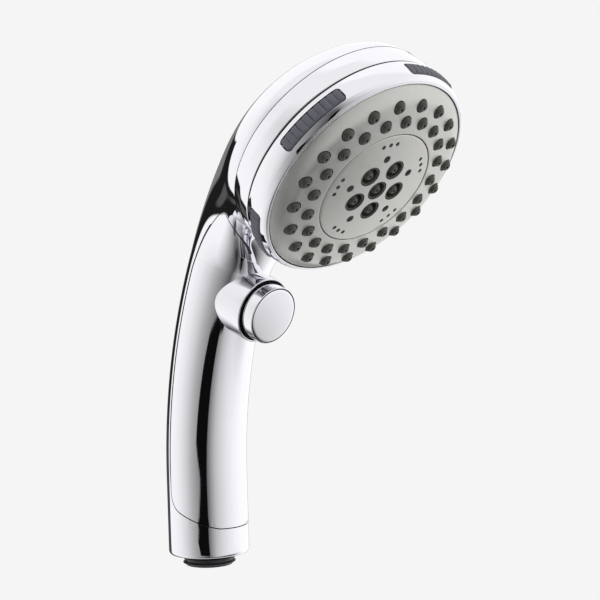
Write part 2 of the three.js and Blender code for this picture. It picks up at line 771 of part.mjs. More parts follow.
function addDial(root) {
  const dial = frameGroup(headFrame, root);
  part('dial_ring', dialRing(), chrome, dial);
  eachFunction((index) => part(`grip_pad_${index + 1}`, gripPad(index), gripRubber, dial));
  part('spray_plate', sprayPlate(), satinPlate, dial);
  part('centre_disc', centreDisc(), satinPlate, dial);
  part('nozzle_mat', nozzleMat(), nozzleRubber, dial);
  part('centre_jet', jetInsert(0), nozzleRubber, dial);
  eachFunction((index) => {
    const place = frameGroup(around(JET_RING, functionAngle(index)), dial);
    part(`jet_insert_${index + 1}`, jetInsert(JET_RING), nozzleRubber, place);
  });
  part('water_distributor', waterDistributor(), whitePlastic, dial);
  part('dial_seal', sealRing(39.9, 9, 1.2, 30), sealRubber, dial);
}

const showerHead = new THREE.Group();
addHandle(showerHead);
addButton(showerHead);
addHead(showerHead);
addDial(showerHead);

export default showerHead;
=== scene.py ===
# Looks of a handheld shower head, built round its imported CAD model. The lengths under
# Dimensions are millimetres, and all other lengths are metres.

import json
import math

import bmesh
import bpy
from mathutils import Matrix, Vector
from mathutils.bvhtree import BVHTree


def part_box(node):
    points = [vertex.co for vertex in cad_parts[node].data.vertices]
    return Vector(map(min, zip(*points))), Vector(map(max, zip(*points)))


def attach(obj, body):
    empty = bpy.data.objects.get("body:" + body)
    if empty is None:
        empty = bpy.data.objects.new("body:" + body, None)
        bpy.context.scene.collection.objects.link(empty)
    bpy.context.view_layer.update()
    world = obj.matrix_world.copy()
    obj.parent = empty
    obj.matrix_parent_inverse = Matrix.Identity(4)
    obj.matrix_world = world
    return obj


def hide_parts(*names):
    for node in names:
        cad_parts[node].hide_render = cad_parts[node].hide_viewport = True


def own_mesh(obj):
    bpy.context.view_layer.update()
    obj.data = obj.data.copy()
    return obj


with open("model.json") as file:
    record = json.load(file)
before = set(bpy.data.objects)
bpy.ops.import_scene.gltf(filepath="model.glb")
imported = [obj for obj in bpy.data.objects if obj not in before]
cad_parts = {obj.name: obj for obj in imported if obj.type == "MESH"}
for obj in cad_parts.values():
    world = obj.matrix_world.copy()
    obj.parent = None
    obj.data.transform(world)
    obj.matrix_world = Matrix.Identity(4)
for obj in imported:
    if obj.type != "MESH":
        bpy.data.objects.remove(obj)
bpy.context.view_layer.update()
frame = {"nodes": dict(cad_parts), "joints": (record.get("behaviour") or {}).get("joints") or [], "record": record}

# ---- Dimensions ----

MM = 0.001
GAP = 0.3
WALL = 2.0

HANDLE_RADIUS = 16.0
FOOT_Z = 4.6
FOOT_ROUNDING = 1.6
FOOT_STEPS = 5
STRAIGHT_TOP = 36.4
STRAIGHT_STEPS = 6
STRAIGHT_MARGIN = 2
BEND_RADIUS = 208.0
BEND_STEPS = 24
NECK_ANGLE = math.radians(24)
SHELL_SIDES = 144

HOOD_BACK_REACH = 45.7
HOOD_DOME_REACH = 19.0
HOOD_DOME_THINNING = 1.3
HOOD_FRONT_REACH = 8.1
HOOD_THROAT_REACH = 4.4
HOOD_FLARE = 0.93
HOOD_SWELL = 1.35
HOOD_STEPS_OUTSIDE = 64
HOOD_STEPS_INSIDE = 40
CREASE_RADIUS = 42.8
CREASE_DEPTH = 24.0
HOOD_DEPTH = CREASE_DEPTH + GAP / 2

# The seam between the shells, as (y, z) points in side view.
SEAM_FRONT = (-16.5, 16.3)
SEAM_FRONT_END = (-14.5, 16.5)
SEAM_RISE_CORNER = (-13.6, 16.9)
SEAM_RISE = (-12, 17.6)
SEAM_SLOPE_END = (-1.5, 22.5)
SEAM_SLOPE_CORNER = (3.9, 25.1)
SEAM_SIDE = (4.0, 30.5)
SEAM_BEHIND = 4.0
SEAM_BEND_ANGLE = math.radians(22.5)
SEAM_TOP_CORNER = (-19, 133)
SEAM_TOP = (-43.1, 139.1)
SEAM_THROAT_CORNER = (-41, 132)
SEAM_THROAT = (-36, 123)
SEAM_END_Z = 115
SEAM_GAP = 0.8
SEAM_HEAD_Y = -30
SEAM_HEAD_SHARE = 0.4
SEAM_FOOT_SHARE = 0.5
SEAM_WIDENING = (24, 40)
CUTTER_FRONT = -80
CUTTER_HALF_WIDTH = 60

FACE_CROWN = 2.9
FACE_RADIUS = 41.3
FACE_RIM_DROP = 2.7
PLATE_THICKNESS = 2
OUTER_RING = 34.9
INNER_RING = 28.7
NOZZLES_PER_RING = 20
NOZZLE_HOLE = 2.55
NOZZLE_ROOT = 2.3
NOZZLE_BASE = 3.2
NOZZLE_TIP = 1.35
NOZZLE_RISE = 1.35
NOZZLE_BORE = 0.5
NOZZLE_SIDES = 28
SHEET_FRONT = 2.3
SHEET_BACK = 3.5
DISC_RADIUS = 23.6
JET_RING = 9.55
JET_HOLE = 4.05
JET_BORE = 0.55
JET_TIP = 1.25
JET_LENGTH = 5.4
JET_CUP_DEPTH = 2.2
JET_SIDES = 48
SMALL_RING = 14.0
SMALL_HOLE = 1.5
MINI_RING = 20.0
MINI_HOLE = 0.85
MINI_STEP = math.radians(9)
PIERCE_FRONT = -6
PIERCE_BACK = 7
FUNCTIONS = 5
PATTERN_ANGLE = math.radians(-1.3)

DIAL_BACK = 14.3
DIAL_PROFILE = [(4.0, 42.7), (5.2, 43.55), (6.6, 44.05), (8.6, 44.28), (11.4, 44.2), (DIAL_BACK, 43.6)]
DIAL_STEPS = 28
DIAL_SMOOTHING = 0.4
DIAL_LIP_RADIUS = 43.0
DIAL_BACK_EDGE = 43.1
# The dial's back inside this radius is painted dark: painted shade in the gap to the head ring.
DIAL_SHADE_RADIUS = 43.45
HEAD_RING_RADIUS = 43.6
HEAD_RING_INNER = CREASE_RADIUS - 1.4
ROUND_SIDES = 192

GRIP_ANGLE = math.radians(7.3)
GRIP_HALF_SPAN = math.radians(18)
GRIP_RADIUS = 44.3
GRIP_FRONT = 6.0
GRIP_BACK = 12.0
GRIP_CORNER = 1.3
GRIP_CLEARANCE = 0.28
GRIP_RIBS = 10
GRIP_RIB_HEIGHT = 0.7
GRIP_SUNK = 0.15
GRIP_EDGE_DROP = 0.35
POCKET_FLOOR = FACE_RADIUS + GAP + 0.8
POCKET_TOP = 48

BOSS_RADIUS = 13.0
BOSS_BORE = 12.3
BOSS_FRONT = 23.4
BOSS_WALL_START = 18.5
BOSS_INSIDE = 8
BOSS_FILLET = 0.8
BOSS_SIDES = 128
BOSS_CUT = (4, 40)
BOSS_CUT_SIDES = 64
FILLET_STEPS = 7
FILLET_MARGIN = 0.3
BUTTON_FRONT = 29.5
BUTTON_BACK = 19.0
BUTTON_RADIUS = 11.4
BUTTON_WALL = 1.6
BUTTON_ROOF = 2.0
BUTTON_CROWN = 0.35
CAP_GROOVE_OUTER = BUTTON_RADIUS - 0.4
CAP_GROOVE_INNER = BUTTON_RADIUS - 0.8
CAP_GROOVE_DEPTH = 0.7
GUIDE_BACK = 20
GUIDE_FRONT = BOSS_FRONT - 1.2
SPRING_BACK = 15.3
SPRING_FRONT = BUTTON_FRONT - 2.9
SPRING_RADIUS = 7.2
SPRING_WIRE = 0.5
SPRING_TURNS = 4
SPRING_TURN_STEPS = 40
SPRING_WIRE_SIDES = 12

THREAD_RADIUS = 10.475
THREAD_PITCH = 1.814
THREAD_DEPTH = 1.16
THREAD_CRESTS = 4
# A crest's corners: whether on the crest, the height over its middle and the fillet.
CREST_CORNERS = [(False, -0.35, 0.15), (True, 0.1, 0.2), (True, 0.45, 0.2), (False, 0.9, 0.15)]
INLET_BORE = 6.0
INLET_TOP = 24
SOCKET_RADIUS = 9.5
TUBE_START = 15.4

# ---- Mesh tests ----

WELD = 1e-7
SHARP_EDGE = 30
SHARP_CUT_EDGE = 25
ON_SURFACE = 2e-6
NEAR_SURFACE = 2e-5
SAME_FACING = 0.7

# ---- Surface detail ----

COARSE_NOISE = 0.12
RELIEF_DEPTH = 0.0002
TONE_POSITIONS = (0.3, 0.7)

# ---- Camera and studio values ----

AIM = Vector((0.0315, -0.0240, 0.1040))
DISTANCE = 0.62
AZIMUTH = math.radians(-46.2)
ELEVATION = math.radians(1.7)
ROLL = math.radians(-1.66)
LENS = 92.65
SENSOR = 36

# Brightness of the studio round the part, by bearing from the camera's side. Bearings
# and heights are in degrees. Left of the camera is negative, and 180 is straight behind.
SWEEP = [
    (-180, 1.05), (-105, 1.0), (-82, 0.9), (-60, 0.7), (-42, 0.47), (-30, 0.36), (0, 0.1), (5, 0.16),
    (11, 0.28), (27, 0.56), (45, 0.74), (64, 0.88), (86, 1.0), (112, 1.08), (180, 1.1),
]
# The front flag's left and right edges, as (height, bearing).
FLAG_LEFT = [(-35, 12), (-31, 8), (-29, -6), (-23, -20), (-12, -28), (-9, -14), (-3, 1), (20, 5)]
FLAG_RIGHT = [(-35, 16), (-31, 18), (-29, 8), (-23, 6), (-8, 2), (0, 8), (20, 13)]
FLAG_TOP = 20
FLAG_BOTTOM = -34
FLAG_LIGHT = 0.004
# The share of the light that the rear flag leaves, by bearing from its edge.
REAR_FLAG = [(-55, 0.2), (-26, 0.2), (-23, 0.012), (-1, 0.012), (1, 1)]
REAR_EDGE = -134
REAR_TOP = 14
REAR_BOTTOM = -45
REAR_GREY = (-145, -13)
REAR_GREY_REACH = (5.5, 9)
REAR_GREY_FADE = (1.1, 0.8)
REAR_GREY_LIGHT = 0.08
# The share of the light that is left towards the floor, by height.
UNDER = [(-90, 0.1), (-82, 0.16), (-76, 0.3), (-65, 0.5), (-58, 0.66), (-50, 0.82), (-40, 1)]
# The share of the light that a dark patch below the part leaves, by angle from its middle.
DARK_BEARING = 92
DARK_HEIGHT = -55
DARK_FADE = [(0, 0.02), (10, 0.06), (22, 0.64), (34, 0.95), (42, 1)]
OVERHEAD = 0.93
OVERHEAD_BEHIND = 1.05
OVERHEAD_HEIGHTS = (24, 44)
OVERHEAD_BEARINGS = (95, 120)

DOME_RADIUS = 4.0
DOME_MIDDLE = Vector((0, -0.05, 0.12))
DOME_COLUMNS = 720
DOME_ROWS = 241
DOME_POLE = 89.9
BACKDROP = 0.913
BACKDROP_SIDES = 96
BACKDROP_PROFILE = [(0.001, -0.35), (1.6, -0.35), (2.1, -0.3), (2.5, -0.1), (2.7, 0.4), (2.75, 3.0)]
WORLD_LIGHT = 0.85
# Each lamp's name, place, size and power.
LAMPS = [("key", (0.5, -0.9, 0.2), 0.5, 2.5), ("fill", (-0.8, -0.7, 1.0), 0.8, 2.5)]

# ---- Frames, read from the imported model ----

joints = {joint["name"]: joint for joint in frame["joints"]}
face_middle = Vector(joints["dial_turn"]["pos_m"])
face_out = Vector(joints["dial_turn"]["axis"]).normalized()
press = Vector(joints["button_press"]["axis"]).normalized()
across = Vector((1, 0, 0))


def frame_along(origin, forward):
    """A frame with X across the part and Z along forward."""
    upward = forward.cross(across)
    matrix = Matrix((across, upward, forward)).transposed().to_4x4()
    matrix.translation = origin
    return matrix


low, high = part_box("button_cap")
cap_middle = (low + high) / 2
boss_middle = cap_middle + press * (BUTTON_FRONT + BUTTON_BACK) / 2 * MM
BOSS = frame_along(boss_middle, -press)
HEAD = frame_along(face_middle, -face_out)
ROW = Matrix.Identity(4)

# ---- Values between stops ----


def between(value, stops):
    """A value read off straight lines between stops."""
    if value <= stops[0][0]:
        return stops[0][1]
    for (v0, b0), (v1, b1) in zip(stops, stops[1:]):
        if value <= v1:
            return b0 + (b1 - b0) * (value - v0) / (v1 - v0)
    return stops[-1][1]


def ramp(value, start, end):
    """How far a value has come from start to end, from 0 to 1."""
    return min(max((value - start) / (end - start), 0), 1)


# ---- Mesh helpers ----


def add_object(name, vertices, faces, matrix):
    """A mesh object from millimetre points in a frame."""
    mesh = bpy.data.meshes.new(name)
    points = [matrix @ (Vector(v) * MM) for v in vertices]
    mesh.from_pydata(points, [], faces)
    obj = bpy.data.objects.new(name, mesh)
    bpy.context.scene.collection.objects.link(obj)
    tidy_mesh(obj)
    return obj


def tidy_mesh(obj):
    """Welds, turns every face outward and smooths all but the sharp edges."""
    shape = bmesh.new()
    shape.from_mesh(obj.data)
    bmesh.ops.remove_doubles(shape, verts=shape.verts, dist=WELD)
    bmesh.ops.dissolve_degenerate(shape, edges=shape.edges, dist=WELD / 10)
    bmesh.ops.recalc_face_normals(shape, faces=shape.faces)
    shape.to_mesh(obj.data)
    shape.free()
    smooth_faces(obj, SHARP_EDGE)


def smooth_faces(obj, sharp):
    """Smooths all but the edges sharper than an angle in degrees."""
    obj.data.polygons.foreach_set("use_smooth", [True] * len(obj.data.polygons))
    obj.data.set_sharp_from_angle(angle=math.radians(sharp))


def copy_of(obj, name):
    twin = obj.copy()
    twin.data = obj.data.copy()
    twin.name = name
    bpy.context.scene.collection.objects.link(twin)
    return twin


def drop(*objects):
    for obj in objects:
        bpy.data.objects.remove(obj)


def grid_faces(rows, columns, wrap_rows=False, wrap_columns=True):
    """Quads over rows of points, wrapping either way."""
    faces = []
    for r in range(rows if wrap_rows else rows - 1):
        for c in range(columns if wrap_columns else columns - 1):
            a = r * columns + c
            b = r * columns + (c + 1) % columns
            below = (r + 1) % rows * columns
            faces.append((a, b, below + (c + 1) % columns, below + c))
    return faces


def capped_faces(rows, columns):
    """Quads over closed rows of points, with a cap on the first row and the last."""
    faces = grid_faces(rows, columns)
    faces.append(tuple(range(columns)))
    faces.append(tuple(range(rows * columns - 1, (rows - 1) * columns - 1, -1)))
    return faces


def circle(radius, height, sides, place=(0, 0)):
    """Points round a circle that lies across Z."""
    points = []
    for i in range(sides):
        angle = i * 2 * math.pi / sides
        points.append((place[0] + radius * math.cos(angle), place[1] + radius * math.sin(angle), height))
    return points


def turned(outline, sides, place=(0, 0)):
    """Circles for each (radius, height) of an outline."""
    return [point for radius, height in outline for point in circle(radius, height, sides, place)]


def lathe(name, outline, matrix, sides=128, closed=True):
    """A body turned about the frame's Z from an outline of (radius, height)."""
    return add_object(name, turned(outline, sides), grid_faces(len(outline), sides, wrap_rows=closed), matrix)


def turned_shape(outline, place, sides):
    """Points and faces of a closed body turned about a line along Z."""
    return turned(outline, sides, place), grid_faces(len(outline), sides, wrap_rows=True)


def rod(radius, low, high, place=(0, 0), sides=24):
    """Points and faces of a closed rod along Z, for cutting."""
    return turned([(radius, low), (radius, high)], sides, place), capped_faces(2, sides)


def gathered(name, shapes, matrix):
    """One object from several (points, faces) shapes."""
    vertices, faces = [], []
    for points, quads in shapes:
        offset = len(vertices)
        vertices += points
        faces += [tuple(i + offset for i in face) for face in quads]
    return add_object(name, vertices, faces, matrix)


def bezier(points, t):
    a, b, c, d = (Vector(p) for p in points)
    s = 1 - t
    return a * s ** 3 + b * 3 * s * s * t + c * 3 * s * t * t + d * t ** 3


def curve(start, control, end, steps):
    """Points of a quadratic curve after its start."""
    start, control, end = Vector(start), Vector(control), Vector(end)
    points = []
    for k in range(1, steps + 1):
        t = k / steps
        points.append(tuple(start * (1 - t) ** 2 + control * 2 * t * (1 - t) + end * t * t))
    return points


def rounded(corners, closed=True, steps=5):
    """An outline with the corners (x, y, fillet) rounded off."""
    outline = []
    count = len(corners)
    for i, (x, y, fillet) in enumerate(corners):
        here = Vector((x, y))
        if fillet <= 0 or (not closed and i in (0, count - 1)):
            outline.append((x, y))
            continue
        before = Vector(corners[i - 1][:2]) - here
        after = Vector(corners[(i + 1) % count][:2]) - here
        reach = fillet / math.tan(before.angle(after) / 2)
        start = here + before.normalized() * min(reach, before.length * 0.49)
        end = here + after.normalized() * min(reach, after.length * 0.49)
        outline.append(tuple(start))
        outline += curve(start, here, end, steps)
    return outline


# ---- Cutting ----


def boolean(obj, tool, operation):
    """Cuts or intersects obj with a tool."""
    modifier = obj.modifiers.new("cut", "BOOLEAN")
    modifier.operation = operation
    modifier.object = tool
    modifier.solver = "EXACT"
    bpy.context.view_layer.update()
    result = bpy.data.meshes.new_from_object(obj.evaluated_get(bpy.context.evaluated_depsgraph_get()))
    obj.modifiers.clear()
    obj.data = result


def pierced(plate, holes):
    """Cuts a plate with rods along the head's axis."""
    tool = gathered("holes", holes, HEAD)
    boolean(plate, tool, "DIFFERENCE")
    drop(tool)
    smooth_faces(plate, SHARP_CUT_EDGE)


def surface_tree(obj):
    return BVHTree.FromObject(obj, bpy.context.evaluated_depsgraph_get())


def face_under(tree, point, normal, within):
    """The surface's face under a point that faces the same way or the opposite one, or None."""
    place, flat, face, distance = tree.find_nearest(point)
    if distance > within or abs(flat.dot(normal)) < SAME_FACING:
        return None
    return face


def smooth_normal(mesh, face, point):
    """A surface's normal at a point, from the nearest corners of the face it lies on."""
    total = Vector((0, 0, 0))
    source = mesh.polygons[face]
    for loop, vertex in zip(source.loop_indices, source.vertices):
        away = (mesh.vertices[vertex].co - point).length + 1e-9
        total += mesh.corner_normals[loop].vector / away
    return total.normalized()


def keep_curvature(obj, smooth):
    """Gives cut faces the normals of the uncut surface they lie on."""
    tree = surface_tree(smooth)
    normals = []
    polygons = obj.data.polygons
    polygons.foreach_set("use_smooth", [True] * len(polygons))
    for polygon in polygons:
        for index in polygon.vertices:
            point = obj.data.vertices[index].co
            face = face_under(tree, point, polygon.normal, ON_SURFACE)
            if face is None:
                normals.append(polygon.normal.copy())
                continue
            normal = smooth_normal(smooth.data, face, point)
            normals.append(normal if normal.dot(polygon.normal) > 0 else -normal)
    obj.data.normals_split_custom_set(normals)


# ---- Materials ----


def noise(tree, place, scale, detail):
    texture = tree.nodes.new("ShaderNodeTexNoise")
    texture.inputs["Scale"].default_value = scale
    texture.inputs["Detail"].default_value = detail
    tree.links.new(place.outputs["Object"], texture.inputs["Vector"])
    return texture


def vary_roughness(tree, shader, texture, low, high):
    rough = tree.nodes.new("ShaderNodeMapRange")
    rough.inputs["To Min"].default_value = low
    rough.inputs["To Max"].default_value = high
    tree.links.new(texture.outputs["Fac"], rough.inputs["Value"])
    tree.links.new(rough.outputs["Result"], shader.inputs["Roughness"])


def vary_colour(tree, shader, texture, colour, tint):
    """Runs the colour from slightly darker to slightly lighter."""
    tones = tree.nodes.new("ShaderNodeValToRGB")
    darker, lighter = tones.color_ramp.elements
    darker.position, lighter.position = TONE_POSITIONS
    darker.color = [c * (1 - tint) for c in colour] + [1]
    lighter.color = [min(c * (1 + tint), 1) for c in colour] + [1]
    tree.links.new(texture.outputs["Fac"], tones.inputs["Fac"])
    tree.links.new(tones.outputs["Color"], shader.inputs["Base Color"])


def add_relief(tree, shader, texture, strength):
    relief = tree.nodes.new("ShaderNodeBump")
    relief.inputs["Strength"].default_value = strength
    relief.inputs["Distance"].default_value = RELIEF_DEPTH
    tree.links.new(texture.outputs["Fac"], relief.inputs["Height"])
    tree.links.new(relief.outputs["Normal"], shader.inputs["Normal"])


def looks(name, colour, roughness, metal, spread, bump, scale, tint):
    """A material whose colour, roughness and surface vary with fine noise."""
    material = bpy.data.materials.new(name)
    material.use_nodes = True
    tree = material.node_tree
    shader = tree.nodes["Principled BSDF"]
    shader.inputs["Metallic"].default_value = metal
    place = tree.nodes.new("ShaderNodeTexCoord")
    coarse = noise(tree, place, scale * COARSE_NOISE, 4)
    fine = noise(tree, place, scale, 6)
    vary_roughness(tree, shader, coarse, max(roughness - spread, 0.01), roughness + spread)
    vary_colour(tree, shader, coarse, colour, tint)
    add_relief(tree, shader, fine, bump)
    return material


# Each slot's material: name, colour, roughness, metal, the roughness's spread, bump,
# noise scale and tint.
FINISHES = {
    "chrome": looks("chrome_plate", (0.9, 0.895, 0.935), 0.035, 1.0, 0.012, 0.003, 900, 0.008),
    "satin_plate": looks("satin_grey_plate", (0.6, 0.595, 0.57), 0.36, 0.85, 0.06, 0.12, 2600, 0.03),
    "nozzle_rubber": looks("nozzle_silicone", (0.035, 0.035, 0.028), 0.36, 0.0, 0.08, 0.2, 1500, 0.15),
    "grip_rubber": looks("grip_rubber", (0.088, 0.09, 0.11), 0.46, 0.0, 0.08, 0.3, 1800, 0.12),
    "seal_rubber": looks("seal_rubber", (0.012, 0.012, 0.013), 0.5, 0.0, 0.1, 0.2, 1500, 0.2),
    # Charcoal plastic for the inlet and CAD nodes; the same material paints shade on gap faces.
    "dark_plastic": looks("charcoal_plastic_and_gap_shade", (0.03, 0.03, 0.034), 0.32, 0.0, 0.08, 0.15, 1200, 0.12),
    "white_plastic": looks("natural_plastic", (0.72, 0.72, 0.68), 0.42, 0.0, 0.08, 0.15, 900, 0.04),
    "steel": looks("stainless_steel", (0.55, 0.56, 0.58), 0.25, 1.0, 0.08, 0.1, 1400, 0.05),
    "brass": looks("machined_brass", (0.62, 0.44, 0.19), 0.28, 1.0, 0.08, 0.1, 1400, 0.06),
}


def finish(obj, slot, body, *nodes):
    """Gives a piece the material of a slot and parents it to its body, and hides the CAD nodes it stands for."""
    obj.data.materials.clear()
    obj.data.materials.append(FINISHES[slot])
    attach(obj, body)
    if nodes:
        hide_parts(*nodes)


def paint_gap_shade(obj, matrix, chosen):
    """Paints the faces whose middles are chosen by radius and height in a frame with dark plastic: painted shade
    in the gaps between parts.
    """
    obj.data.materials.append(FINISHES["dark_plastic"])
    inverse = matrix.inverted()
    for polygon in obj.data.polygons:
        x, y, height = (inverse @ polygon.center) / MM
        if chosen(math.hypot(x, y), height):
            polygon.material_index = 1


def paint_cut_shade(obj, smooth):
    """Paints the faces that were cut off the uncut surface with dark plastic: painted shade in the seam's gap and
    the boss's bore.
    """
    obj.data.materials.append(FINISHES["dark_plastic"])
    tree = surface_tree(smooth)
    for polygon in obj.data.polygons:
        if face_under(tree, polygon.center, polygon.normal, NEAR_SURFACE) is None:
            polygon.material_index = 1


# ---- Handle and hood surface ----


def centre_point(angle):
    return Vector((0, -BEND_RADIUS * (1 - math.cos(angle)), STRAIGHT_TOP + BEND_RADIUS * math.sin(angle)))


def section(front, back, half_width):
    """One closed section: an ellipse between a front point and a back point."""
    middle = (front + back) / 2
    half = (back - front) / 2
    points = []
    for i in range(SHELL_SIDES):
        angle = i * 2 * math.pi / SHELL_SIDES
        point = middle - half * math.cos(angle)
        point.x = half_width * math.sin(angle)
        points.append(point)
    return points


def handle_section(angle, drop_z, radius):
    """A round section at an angle along the bend, or below it in the straight part."""
    middle = centre_point(angle) - Vector((0, 0, drop_z))
    backwards = Vector((0, math.cos(angle), math.sin(angle)))
    return section(middle - backwards * radius, middle + backwards * radius, radius)


def head_point(radius, depth):
    """A point of the plane of symmetry in the head's own frame, in millimetres."""
    return (HEAD @ (Vector((0, radius, depth)) * MM)) / MM


def hood_edge(side, inset, neck_reach, head_reach):
    """The curve from the neck to the crease, at the back (side 1) or in the throat (side -1)."""
    upwards = Vector((0, -math.sin(NECK_ANGLE), math.cos(NECK_ANGLE)))
    backwards = Vector((0, math.cos(NECK_ANGLE), math.sin(NECK_ANGLE)))
    start = centre_point(NECK_ANGLE) + backwards * side * (HANDLE_RADIUS - inset)
    end = head_point(-side * (CREASE_RADIUS - inset), HOOD_DEPTH)
    return (start, start + upwards * neck_reach, end - face_out * head_reach, end)


def hood_sections(inset, steps):
    back = hood_edge(1, inset, HOOD_BACK_REACH - inset, HOOD_DOME_REACH - HOOD_DOME_THINNING * inset)
    front = hood_edge(-1, inset, HOOD_FRONT_REACH + inset, HOOD_THROAT_REACH)
    sections = []
    for i in range(1, steps + 1):
        t = i / steps
        share = t ** HOOD_FLARE
        share = share * share * (3 - 2 * share)
        width = HANDLE_RADIUS + (CREASE_RADIUS - HANDLE_RADIUS) * share + HOOD_SWELL * 4 * t * (1 - t)
        sections.append(section(bezier(front, t), bezier(back, t), width - inset))
    return sections


def foot_sections(inset):
    """Sections at the foot's rim, which is rounded on the outside only."""
    radius = HANDLE_RADIUS - inset
    drop_z = STRAIGHT_TOP - FOOT_Z
    if inset > 0:
        return [handle_section(0, drop_z, radius)]
    sections = []
    for k in range(FOOT_STEPS + 1):
        turn = k / FOOT_STEPS * math.pi / 2
        shrink = FOOT_ROUNDING * (1 - math.sin(turn))
        lift = FOOT_ROUNDING * (1 - math.cos(turn))
        sections.append(handle_section(0, drop_z - lift, radius - shrink))
    return sections


def shell_rows(inset, hood_steps):
    """Sections of the handle's skin from the foot's rim up to the head."""
    radius = HANDLE_RADIUS - inset
    rows = foot_sections(inset)
    for k in range(1, STRAIGHT_STEPS):
        drop_z = (STRAIGHT_TOP - FOOT_Z - STRAIGHT_MARGIN) * (1 - k / STRAIGHT_STEPS)
        rows.append(handle_section(0, drop_z, radius))
    for k in range(BEND_STEPS + 1):
        rows.append(handle_section(NECK_ANGLE * k / BEND_STEPS, 0, radius))
    return rows + hood_sections(inset, hood_steps)


def shell_skin(name):
    """The whole double-walled shell, before it is parted at the seam."""
    rows = shell_rows(0, HOOD_STEPS_OUTSIDE) + shell_rows(WALL, HOOD_STEPS_INSIDE)[::-1]
    vertices = [point for row in rows for point in row]
    return add_object(name, vertices, grid_faces(len(rows), SHELL_SIDES, wrap_rows=True), ROW)


# ---- Seam ----


def seam_line():
    """The seam in side view, from the front of the foot upwards."""
    points = [SEAM_FRONT, SEAM_FRONT_END]
    points += curve(SEAM_FRONT_END, SEAM_RISE_CORNER, SEAM_RISE, 4)
    points.append(SEAM_SLOPE_END)
    points += curve(SEAM_SLOPE_END, SEAM_SLOPE_CORNER, SEAM_SIDE, 12)
    reach = BEND_RADIUS + SEAM_BEHIND
    for k in range(BEND_STEPS + 1):
        angle = SEAM_BEND_ANGLE * k / BEND_STEPS
        points.append((-BEND_RADIUS + reach * math.cos(angle), STRAIGHT_TOP + reach * math.sin(angle)))
    points += curve(points[-1], SEAM_TOP_CORNER, SEAM_TOP, 20)
    points += curve(SEAM_TOP, SEAM_THROAT_CORNER, SEAM_THROAT, 8)
    return points


def seam_share(point):
    """How much of the gap is open at a seam point: less under the head and at the foot."""
    if point[0] < SEAM_HEAD_Y:
        return SEAM_HEAD_SHARE
    return max(ramp(point[1], *SEAM_WIDENING), SEAM_FOOT_SHARE)


def seam_plate(name, grow):
    """Everything in front of the seam, as a plate of its side outline."""
    line = seam_line()
    moved = []
    for i, point in enumerate(line):
        before = Vector(line[max(i - 1, 0)])
        after = Vector(line[min(i + 1, len(line) - 1)])
        along = (after - before).normalized()
        outward = Vector((along.y, -along.x))
        moved.append(Vector(point) + outward * grow * seam_share(point))
    start = Vector((CUTTER_FRONT, moved[0].y))
    end = Vector((CUTTER_FRONT, SEAM_END_Z + grow))
    outline = [start] + moved + [end]
    vertices = [(x, p.x, p.y) for x in (-CUTTER_HALF_WIDTH, CUTTER_HALF_WIDTH) for p in outline]
    return add_object(name, vertices, capped_faces(2, len(outline)), ROW)


# ---- Boss ----


def beside_bend(point):
    """Moves a point beside a straight handle to where the bend puts it."""
    turn = point.y / BEND_RADIUS
    reach = BEND_RADIUS - point.z
    return Vector((point.x, reach * math.sin(turn), BEND_RADIUS - reach * math.cos(turn)))


def spoke_at(first, last, t):
    """The fillet's spoke between its first and last directions.

    Vector.slerp gives a unit vector, so between the ends the spoke is 1 mm long and not BOSS_FILLET.
    """
    if t == 0:
        return first
    if t == 1:
        return last
    return first.slerp(last, t)


def fillet_point(angle, t):
    """A point of the boss's fillet, from the handle at t = 0 to the boss at t = 1.

    It isn't a true rolling-ball fillet: the rows between the ends are too deep, and the bend draws the rows
    near the handle in under the boss's wall. What shows is a groove up to about 0.3 mm deep.
    """
    boss_reach = BOSS_RADIUS + BOSS_FILLET
    handle_reach = HANDLE_RADIUS + BOSS_FILLET
    x, y = boss_reach * math.cos(angle), boss_reach * math.sin(angle)
    height = math.sqrt(max(handle_reach ** 2 - x * x, 1))
    centre = Vector((x, y, height))
    on_handle = Vector((x, 0, height)) * HANDLE_RADIUS / handle_reach + Vector((0, y, 0))
    on_boss = Vector((BOSS_RADIUS * math.cos(angle), BOSS_RADIUS * math.sin(angle), height))
    straight = centre + spoke_at(on_handle - centre, on_boss - centre, t)
    return straight.lerp(beside_bend(straight), (1 - t) ** 2 * (1 + 2 * t))


def fillet_rows():
    """Rows of points of the fillet between the boss and the bent handle."""
    angles = [i * 2 * math.pi / BOSS_SIDES for i in range(BOSS_SIDES)]
    return [[fillet_point(angle, k / FILLET_STEPS) for angle in angles] for k in range(FILLET_STEPS + 1)]


def collar_row(radius, height, fillet_top):
    """A ring of the boss's wall, which outside starts above the fillet."""
    row = [Vector(point) for point in circle(radius, height, BOSS_SIDES)]
    if radius > BOSS_RADIUS - 0.01:
        for point, under in zip(row, fillet_top):
            point.z = max(height, under.z + FILLET_MARGIN)
    return row


def boss_collar(name):
    rows = fillet_rows()
    fillet_top = rows[-1]
    walls = rounded([
        (BOSS_RADIUS, BOSS_WALL_START, 0), (BOSS_RADIUS, BOSS_FRONT, 0.3), (BOSS_BORE, BOSS_FRONT, 0.25),
        (BOSS_BORE, BOSS_INSIDE, 0),
    ], closed=False)
    rows += [collar_row(radius, height, fillet_top) for radius, height in walls]
    vertices = [point for row in rows for point in row]
    return add_object(name, vertices, grid_faces(len(rows), BOSS_SIDES, wrap_rows=True), BOSS)


# ---- Shells ----


